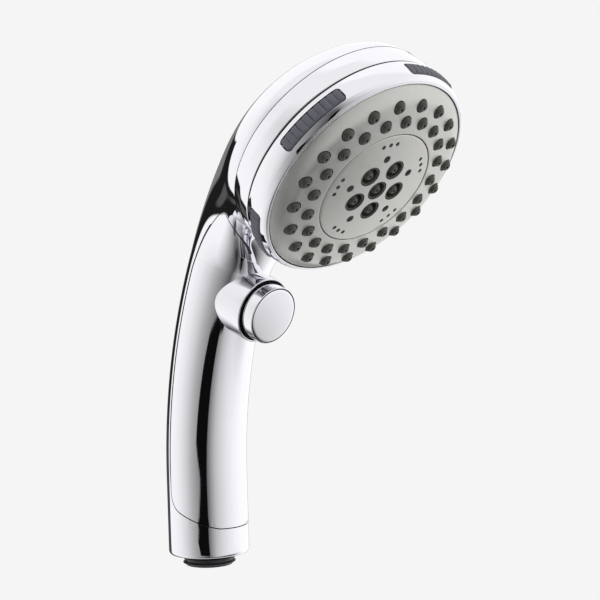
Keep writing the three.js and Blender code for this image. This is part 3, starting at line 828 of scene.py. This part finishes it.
def make_shells():
    skin = shell_skin("shell_skin")
    rear = copy_of(skin, "rear_shell_skin")
    front = copy_of(skin, "front_shell_skin")
    inner_plate = seam_plate("seam_plate", 0)
    outer_plate = seam_plate("seam_plate_gap", SEAM_GAP)
    boolean(front, inner_plate, "INTERSECT")
    boolean(rear, outer_plate, "DIFFERENCE")
    bore = gathered("boss_bore", [rod(BOSS_BORE, *BOSS_CUT, sides=BOSS_CUT_SIDES)], BOSS)
    boolean(front, bore, "DIFFERENCE")
    keep_curvature(front, skin)
    keep_curvature(rear, skin)
    collar = boss_collar("boss_collar")
    finish(collar, "chrome", "handle")
    finish(front, "chrome", "handle", "front_shell")
    finish(rear, "chrome", "handle", "rear_shell")
    # The seam's walls and the boss's bore are painted dark: painted shade in the gaps.
    paint_cut_shade(front, skin)
    paint_cut_shade(rear, skin)
    drop(skin, inner_plate, outer_plate, bore)


# ---- Inlet ----


def make_inlet():
    flange = HANDLE_RADIUS - WALL - GAP
    root = THREAD_RADIUS - THREAD_DEPTH
    shoulder = (THREAD_CRESTS + 1) * THREAD_PITCH
    socket = TUBE_START - GAP
    corners = [(INLET_BORE, 0, 0.4), (root, 0, 0.5)]
    for k in range(THREAD_CRESTS):
        middle = THREAD_PITCH * (k + 0.5)
        for raised, lift, fillet in CREST_CORNERS:
            corners.append((THREAD_RADIUS if raised else root, middle + lift, fillet))
    corners += [
        (root, shoulder, 0.3), (flange, shoulder, 0.4), (flange, INLET_TOP, 0.4),
        (SOCKET_RADIUS, INLET_TOP, 0.3), (SOCKET_RADIUS, socket, 0), (INLET_BORE, socket, 0),
    ]
    inlet = lathe("inlet_thread", rounded(corners), ROW)
    finish(inlet, "dark_plastic", "handle", "inlet_connector")


# ---- Button ----


def crown(radius, top, steps=14):
    """The outline of a face that rises gently to its middle."""
    outline = []
    for k in range(steps + 1):
        reach = radius * (1 - k / steps)
        outline.append((reach, top - BUTTON_CROWN * (reach / radius) ** 2))
    return outline


def cap_outline(edge):
    """The cap's inside, its wall, the groove round its face and the crowned face."""
    inside = BUTTON_RADIUS - BUTTON_WALL
    floor = edge - CAP_GROOVE_DEPTH
    walls = rounded([
        (0, BUTTON_FRONT - BUTTON_ROOF, 0), (inside, BUTTON_FRONT - BUTTON_ROOF - 0.6, 0.3),
        (inside, BUTTON_BACK, 0.3), (BUTTON_RADIUS, BUTTON_BACK, 0.3), (BUTTON_RADIUS, edge - 0.1, 0.25),
        (CAP_GROOVE_OUTER + 0.05, edge - 0.05, 0.08), (CAP_GROOVE_OUTER, floor, 0.08),
        (CAP_GROOVE_INNER, floor, 0.08), (CAP_GROOVE_INNER - 0.03, edge - 0.05, 0.12),
    ], closed=False)
    return walls + crown(CAP_GROOVE_INNER - 0.18, BUTTON_FRONT)


def make_button():
    edge = BUTTON_FRONT - BUTTON_CROWN
    cap = lathe("button_cap_chrome", cap_outline(edge), BOSS, closed=False)
    finish(cap, "chrome", "button", "button_cap")
    # The floor of the cap's groove is painted dark: painted shade in the groove.
    paint_gap_shade(cap, BOSS, lambda radius, height: (
        CAP_GROOVE_INNER - 0.05 < radius < CAP_GROOVE_OUTER + 0.03 and edge - 0.8 < height < edge - 0.2))


def make_guide_ring():
    inner = BUTTON_RADIUS + GAP
    outer = BOSS_BORE - GAP
    corners = [
        (inner, GUIDE_BACK, 0.1), (outer, GUIDE_BACK, 0.1),
        (outer, GUIDE_FRONT, 0.1), (inner, GUIDE_FRONT, 0.1),
    ]
    ring = lathe("button_gap_ring", rounded(corners), BOSS)
    finish(ring, "seal_rubber", "handle", "button_guide_ring")


def coil_ring(angle, low, rise):
    """A ring of the spring's round wire, square to the coil."""
    outward = Vector((math.cos(angle), math.sin(angle), 0))
    middle = outward * SPRING_RADIUS + Vector((0, 0, low + rise * angle))
    onward = Vector((-SPRING_RADIUS * math.sin(angle), SPRING_RADIUS * math.cos(angle), rise)).normalized()
    sideways = onward.cross(outward)
    ring = []
    for i in range(SPRING_WIRE_SIDES):
        turn = 2 * math.pi * i / SPRING_WIRE_SIDES
        ring.append(middle + (outward * math.cos(turn) + sideways * math.sin(turn)) * SPRING_WIRE)
    return ring


def make_spring():
    """A round-wire coil along the button's own axis."""
    low = SPRING_BACK + SPRING_WIRE
    high = SPRING_FRONT - SPRING_WIRE
    whole_turn = SPRING_TURNS * 2 * math.pi
    steps = SPRING_TURNS * SPRING_TURN_STEPS
    vertices = []
    for k in range(steps + 1):
        vertices += coil_ring(whole_turn * k / steps, low, (high - low) / whole_turn)
    spring = add_object("button_spring_coil", vertices, capped_faces(steps + 1, SPRING_WIRE_SIDES), BOSS)
    finish(spring, "steel", "handle", "button_spring")
    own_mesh(spring)


# ---- Head ring and dial ----


def face_depth(radius):
    """The face is crowned, and falls away more steeply outside the outer nozzles."""
    rim = max(radius - OUTER_RING, 0) / (FACE_RADIUS - OUTER_RING)
    return FACE_CROWN * ((radius / OUTER_RING) ** 2 - 1) + FACE_RIM_DROP * rim ** 2


def make_head_ring():
    front = DIAL_BACK + GAP
    back = CREASE_DEPTH
    corners = [
        (HEAD_RING_INNER, front, 0), (HEAD_RING_RADIUS, front, 0.5),
        (HEAD_RING_RADIUS, (front + back) / 2, 9), (CREASE_RADIUS, back, 0.2), (HEAD_RING_INNER, back, 0),
    ]
    ring = lathe("head_ring_chrome", rounded(corners), HEAD, sides=ROUND_SIDES)
    finish(ring, "chrome", "handle", "head_ring")
    # The ring's faces against the dial and against the shells are painted dark: painted shade in the gaps between
    # parts.
    paint_gap_shade(ring, HEAD, lambda radius, depth: (
        (radius < HEAD_RING_RADIUS - 0.25 and depth < front + 0.2) or depth > back - 0.16))


def dial_radius(depth):
    """The dial's outer radius, which bulges between its lip and its back."""
    return sum(between(depth + DIAL_SMOOTHING * k, DIAL_PROFILE) for k in range(-3, 4)) / 7


def rounded_half_height(x, half_length, half_height, corner):
    """Half the height of a rounded rectangle at x."""
    over = abs(x) - (half_length - corner)
    if over <= 0:
        return half_height
    return half_height - corner + math.sqrt(max(corner * corner - over * over, 0))


def block_points(index, grow, lift, rib_height, rows, columns):
    """A grid of points over a rounded rectangle wrapped round the dial's rim."""
    middle_depth = (GRIP_FRONT + GRIP_BACK) / 2
    half_length = GRIP_HALF_SPAN * GRIP_RADIUS - GAP + grow
    half_height = (GRIP_BACK - GRIP_FRONT) / 2 - GAP + grow
    middle = -(GRIP_ANGLE + index * 2 * math.pi / FUNCTIONS)
    points = []
    for r in range(rows):
        v = -1 + 2 * r / (rows - 1)
        for c in range(columns):
            u = math.sin((-1 + 2 * c / (columns - 1)) * math.pi / 2)
            x = u * half_length
            depth = middle_depth + rounded_half_height(x, half_length, half_height, GRIP_CORNER + grow) * v
            radius = lift(depth)
            if rib_height > 0:
                radius += rib_rise(u, v, rib_height)
            angle = middle + x / GRIP_RADIUS
            points.append((radius * math.cos(angle), radius * math.sin(angle), depth))
    return points


def rib_rise(u, v, rib_height):
    """How far a grip stands up at a place on it: over its ribs, and down at its edges."""
    edge = max(abs(v) ** 10, abs(u) ** 40)
    rib = rib_height * abs(math.sin(u * GRIP_RIBS * math.pi / 2)) ** 0.5
    return rib * (1 - edge) - GRIP_EDGE_DROP * edge


def rim_block(index, grow, surface, floor, rib_height):
    """A rounded block let into the dial's rim: a grid over its face, sides and floor."""
    rows, columns = (13, 161) if rib_height > 0 else (5, 61)
    points = block_points(index, grow, floor, rib_height, rows, columns)
    points += block_points(index, grow, surface, rib_height, rows, columns)
    count = rows * columns
    faces = [tuple(reversed(f)) for f in grid_faces(rows, columns, wrap_columns=False)]
    faces += [tuple(i + count for i in f) for f in grid_faces(rows, columns, wrap_columns=False)]
    border = list(range(columns)) + [r * columns + columns - 1 for r in range(1, rows)]
    border += [(rows - 1) * columns + c for c in range(columns - 2, -1, -1)]
    border += [r * columns for r in range(rows - 2, 0, -1)]
    for a, b in zip(border, border[1:] + border[:1]):
        faces.append((a, b, b + count, a + count))
    return points, faces


def dial_outline():
    """The dial ring's outline: its lip with a bead, the bulging rim and a recessed back."""
    inner = FACE_RADIUS + GAP
    lip = face_depth(FACE_RADIUS) - 0.3
    corners = [
        (inner, DIAL_BACK, 0), (inner, lip, 0.22), (inner + 0.55, lip, 0.22), (inner + 0.55, lip + 0.55, 0.1),
        (inner + 0.75, lip + 0.6, 0.1), (inner + 0.85, lip + 0.3, 0.15), (inner + 1.1, lip + 0.4, 0.2),
        (DIAL_LIP_RADIUS, lip + 1.0, 0),
    ]
    outline = rounded(corners, closed=False)[:-1]
    for k in range(DIAL_STEPS + 1):
        depth = lip + 1.1 + (DIAL_BACK - lip - 1.6) * k / DIAL_STEPS
        outline.append((dial_radius(depth), depth))
    return outline + [(DIAL_BACK_EDGE, DIAL_BACK - 0.25), (inner + 0.6, DIAL_BACK - 0.2)]


def make_dial():
    ring = lathe("dial_ring_chrome", dial_outline(), HEAD, sides=ROUND_SIDES)
    uncut = copy_of(ring, "uncut_dial_ring")
    shapes = [
        rim_block(i, GRIP_CLEARANCE, lambda depth: POCKET_TOP, lambda depth: POCKET_FLOOR, 0)
        for i in range(FUNCTIONS)]
    pockets = gathered("grip_pockets", shapes, HEAD)
    boolean(ring, pockets, "DIFFERENCE")
    keep_curvature(ring, uncut)
    drop(uncut, pockets)
    finish(ring, "chrome", "dial", "dial_ring")
    # The dial's back is painted dark: painted shade in the gap to the head ring.
    paint_gap_shade(ring, HEAD, lambda radius, depth: radius < DIAL_SHADE_RADIUS and depth > DIAL_BACK - 0.5)


def make_grips():
    for i in range(FUNCTIONS):
        points, faces = rim_block(
            i, 0, lambda depth: dial_radius(depth) - GRIP_SUNK, lambda depth: POCKET_FLOOR + GAP,
            GRIP_RIB_HEIGHT)
        pad = add_object(f"grip_rubber_{i + 1}", points, faces, HEAD)
        finish(pad, "grip_rubber", "dial", f"grip_pad_{i + 1}")


# ---- Spray face ----


def around(radius, angle):
    return (radius * math.cos(angle), -radius * math.sin(angle))


def function_angle(index):
    return PATTERN_ANGLE + index * 2 * math.pi / FUNCTIONS


def nozzle_places():
    """Each nozzle's ring radius and angle, outer ring and inner ring in turn."""
    pitch = 2 * math.pi / NOZZLES_PER_RING
    places = []
    for i in range(NOZZLES_PER_RING):
        places.append((OUTER_RING, PATTERN_ANGLE + i * pitch))
        places.append((INNER_RING, PATTERN_ANGLE + (i + 0.5) * pitch))
    return places


def crowned_outline(inner, outer, edge, steps=24):
    """A plate's outline that follows the crowned face, with rounded edges."""
    low = inner + edge if inner > 0 else 0
    high = outer - edge
    front = [(low + (high - low) * k / steps, 0) for k in range(steps + 1)]
    turns = [(math.sin(math.radians(a)), 1 - math.cos(math.radians(a))) for a in range(15, 91, 15)]
    front += [(high + edge * along, edge * down) for along, down in turns]
    if inner > 0:
        front = [(low - edge * along, edge * down) for along, down in reversed(turns)] + front
    back = [(outer - (outer - inner) * k / steps, PLATE_THICKNESS) for k in range(steps + 1)]
    return [(radius, face_depth(radius) + lower) for radius, lower in front + back]


def face_hole(radius, place, sides):
    return rod(radius, PIERCE_FRONT, PIERCE_BACK, place, sides)


def make_plate():
    outline = crowned_outline(DISC_RADIUS + GAP, FACE_RADIUS, 0.3)
    plate = lathe("spray_plate_satin", outline, HEAD, sides=ROUND_SIDES)
    holes = [face_hole(NOZZLE_HOLE, around(*place), NOZZLE_SIDES) for place in nozzle_places()]
    pierced(plate, holes)
    finish(plate, "satin_plate", "dial", "spray_plate")


def disc_holes():
    """The centre disc's holes: its jets, and a small hole and three smaller ones between them."""
    holes = [face_hole(JET_HOLE, (0, 0), JET_SIDES)]
    for i in range(FUNCTIONS):
        angle = function_angle(i)
        beside = angle + math.pi / FUNCTIONS
        holes.append(face_hole(JET_HOLE, around(JET_RING, angle), JET_SIDES))
        holes.append(face_hole(SMALL_HOLE, around(SMALL_RING, beside), 28))
        for side in (-1, 0, 1):
            holes.append(face_hole(MINI_HOLE, around(MINI_RING, beside + side * MINI_STEP), 20))
    return holes


def make_disc():
    outline = crowned_outline(0, DISC_RADIUS, 0.45)
    disc = lathe("centre_disc_satin", outline, HEAD, sides=ROUND_SIDES, closed=False)
    pierced(disc, disc_holes())
    finish(disc, "satin_plate", "dial", "centre_disc")


def nozzle_cone(radius, angle):
    """A rubber nozzle's points and faces, from its root behind the plate to its tip."""
    front = face_depth(radius)
    base = front + NOZZLE_BASE
    tip = front - NOZZLE_RISE
    outline = rounded([
        (NOZZLE_BORE, base, 0), (NOZZLE_ROOT, base, 0), (NOZZLE_ROOT, front - 0.1, 0.35),
        (NOZZLE_TIP, tip, 0.5), (NOZZLE_BORE, tip, 0.15),
    ])
    return turned_shape(outline, around(radius, angle), NOZZLE_SIDES)


def make_nozzles():
    cones = gathered("nozzle_cones", [nozzle_cone(*place) for place in nozzle_places()], HEAD)
    inner = DISC_RADIUS + 1
    outer = OUTER_RING + 2.5
    corners = [(inner, SHEET_FRONT), (outer, SHEET_FRONT), (outer, SHEET_BACK), (inner, SHEET_BACK)]
    outline = [(radius, face_depth(radius) + lower) for radius, lower in corners]
    sheet = lathe("nozzle_sheet", outline, HEAD)
    finish(cones, "nozzle_rubber", "dial", "nozzle_mat")
    finish(sheet, "nozzle_rubber", "dial")


def make_jet(name, node, ring_radius, angle):
    """A jet: a cup with a small cone that stands in its middle."""
    front = face_depth(ring_radius) + 0.3
    outer = JET_HOLE - GAP
    floor = front + JET_CUP_DEPTH
    tip = front - 0.3
    outline = rounded([
        (JET_BORE, front + JET_LENGTH, 0), (outer, front + JET_LENGTH, 0), (outer, front, 0.15),
        (outer - 0.5, front, 0.15), (outer - 0.55, floor, 0.15), (outer - 0.75, floor, 0.15),
        (JET_TIP, tip, 0.5), (JET_BORE, tip, 0.15),
    ])
    jet = gathered(name, [turned_shape(outline, around(ring_radius, angle), JET_SIDES)], HEAD)
    finish(jet, "nozzle_rubber", "dial", node)


def make_jets():
    make_jet("centre_jet_cup", "centre_jet", 0, 0)
    for i in range(FUNCTIONS):
        make_jet(f"jet_cup_{i + 1}", f"jet_insert_{i + 1}", JET_RING, function_angle(i))


# ---- Carried-over CAD nodes ----


def dress_cad_nodes():
    slots = {entry["node"]: entry["material_slot"] for entry in frame["record"]["subparts"]}
    for name, node in frame["nodes"].items():
        node.data.materials.clear()
        node.data.materials.append(FINISHES[slots[name]])


# ---- Camera ----


def view_basis(azimuth, elevation, roll):
    """The camera's right, up and back directions."""
    level = math.cos(elevation)
    back = Vector((math.sin(azimuth) * level, -math.cos(azimuth) * level, math.sin(elevation)))
    right = Vector((math.cos(azimuth), math.sin(azimuth), 0))
    up = back.cross(right)
    leaning = right * math.cos(roll) + up * math.sin(roll)
    return leaning, back.cross(leaning), back


def make_camera():
    right, up, back = view_basis(AZIMUTH, ELEVATION, ROLL)
    data = bpy.data.cameras.new("camera")
    data.lens = LENS
    data.sensor_width = SENSOR
    data.clip_start = 0.01
    camera = bpy.data.objects.new("camera", data)
    matrix = Matrix((right, up, back)).transposed().to_4x4()
    matrix.translation = AIM + back * DISTANCE
    camera.matrix_world = matrix
    bpy.context.scene.collection.objects.link(camera)
    bpy.context.scene.camera = camera


# ---- Studio ----


def direction(bearing, height):
    turn = AZIMUTH - math.pi / 2 + math.radians(bearing)
    lift = math.radians(height)
    return Vector((math.cos(turn) * math.cos(lift), math.sin(turn) * math.cos(lift), math.sin(lift)))


def behind_flag(light, bearing, height):
    """The light behind the part, which a flag darkens, apart from a grey patch on the flag."""
    behind = bearing if bearing < 170 else bearing - 360
    light *= between(behind - REAR_EDGE, REAR_FLAG)
    sideways = (behind - REAR_GREY[0]) / REAR_GREY_REACH[0]
    upwards = (height - REAR_GREY[1]) / REAR_GREY_REACH[1]
    return light + REAR_GREY_LIGHT * ramp(math.hypot(sideways, upwards), *REAR_GREY_FADE)


def studio_brightness(bearing, height):
    """The studio's light from one direction."""
    light = between(bearing, SWEEP)
    above = OVERHEAD + (OVERHEAD_BEHIND - OVERHEAD) * ramp(abs(bearing), *OVERHEAD_BEARINGS)
    light += (above - light) * ramp(height, *OVERHEAD_HEIGHTS)
    if FLAG_BOTTOM < height < FLAG_TOP:
        if between(height, FLAG_LEFT) < bearing < between(height, FLAG_RIGHT):
            light = FLAG_LIGHT
    if REAR_BOTTOM < height < REAR_TOP:
        light = behind_flag(light, bearing, height)
    away = math.degrees(direction(bearing, height).angle(direction(DARK_BEARING, DARK_HEIGHT)))
    return light * between(height, UNDER) * between(away, DARK_FADE)


def glow_material(name):
    """An even glow, painted by the sheet's own light colours."""
    material = bpy.data.materials.new(name)
    material.use_nodes = True
    nodes, links = material.node_tree.nodes, material.node_tree.links
    nodes.clear()
    paint = nodes.new("ShaderNodeAttribute")
    paint.attribute_name = "light"
    glow = nodes.new("ShaderNodeEmission")
    output = nodes.new("ShaderNodeOutputMaterial")
    links.new(paint.outputs["Color"], glow.inputs["Color"])
    links.new(glow.outputs["Emission"], output.inputs["Surface"])
    material.cycles.emission_sampling = "NONE"
    return material


def glowing_sheet(name, vertices, faces, lights, material_name):
    """A sheet that glows with each vertex's own light, and throws none on dull surfaces."""
    mesh = bpy.data.meshes.new(name)
    mesh.from_pydata(vertices, [], faces)
    mesh.materials.append(glow_material(material_name))
    mesh.polygons.foreach_set("use_smooth", [True] * len(mesh.polygons))
    paint = mesh.color_attributes.new("light", "FLOAT_COLOR", "POINT")
    paint.data.foreach_set("color", [value for light in lights for value in (light, light, light, 1)])
    sheet = bpy.data.objects.new(name, mesh)
    bpy.context.scene.collection.objects.link(sheet)
    sheet.visible_diffuse = False
    sheet.visible_shadow = False
    return sheet


def make_dome():
    """Soft boxes and flags round the part, seen only in its reflections."""
    vertices, lights = [], []
    for r in range(DOME_ROWS):
        height = -DOME_POLE + 2 * DOME_POLE * r / (DOME_ROWS - 1)
        for c in range(DOME_COLUMNS):
            bearing = -180 + 360 * c / DOME_COLUMNS
            vertices.append(DOME_MIDDLE + direction(bearing, height) * DOME_RADIUS)
            lights.append(studio_brightness(bearing, height))
    dome = glowing_sheet("studio_dome", vertices, grid_faces(DOME_ROWS, DOME_COLUMNS), lights, "studio_light")
    dome.visible_camera = False


def make_backdrop():
    """A plain pale floor well below the part, swept up into a wall, seen only by the camera."""
    vertices = turned(BACKDROP_PROFILE, BACKDROP_SIDES)
    faces = grid_faces(len(BACKDROP_PROFILE), BACKDROP_SIDES)
    backdrop = glowing_sheet("backdrop_floor", vertices, faces, [BACKDROP] * len(vertices), "pale_backdrop")
    backdrop.visible_glossy = False


def make_world():
    world = bpy.data.worlds.new("studio")
    world.use_nodes = True
    background = world.node_tree.nodes["Background"]
    background.inputs["Color"].default_value = (1, 1, 1, 1)
    background.inputs["Strength"].default_value = WORLD_LIGHT
    bpy.context.scene.world = world


def make_lamp(name, location, size, power):
    """A round lamp aimed at the spray face, which reflections don't see."""
    data = bpy.data.lights.new(name, "AREA")
    data.shape = "DISK"
    data.size = size
    data.energy = power
    lamp = bpy.data.objects.new(name, data)
    lamp.location = location
    lamp.rotation_euler = (Vector(location) - face_middle).to_track_quat("Z", "Y").to_euler()
    lamp.visible_glossy = False
    bpy.context.scene.collection.objects.link(lamp)


# ---- The whole scene ----

make_shells()
make_inlet()
make_button()
make_guide_ring()
make_spring()
make_head_ring()
make_dial()
make_grips()
make_plate()
make_disc()
make_nozzles()
make_jets()
dress_cad_nodes()
make_camera()
bpy.context.scene.view_settings.view_transform = "Standard"
make_world()
make_backdrop()
make_dome()
for lamp in LAMPS:
    make_lamp(*lamp)
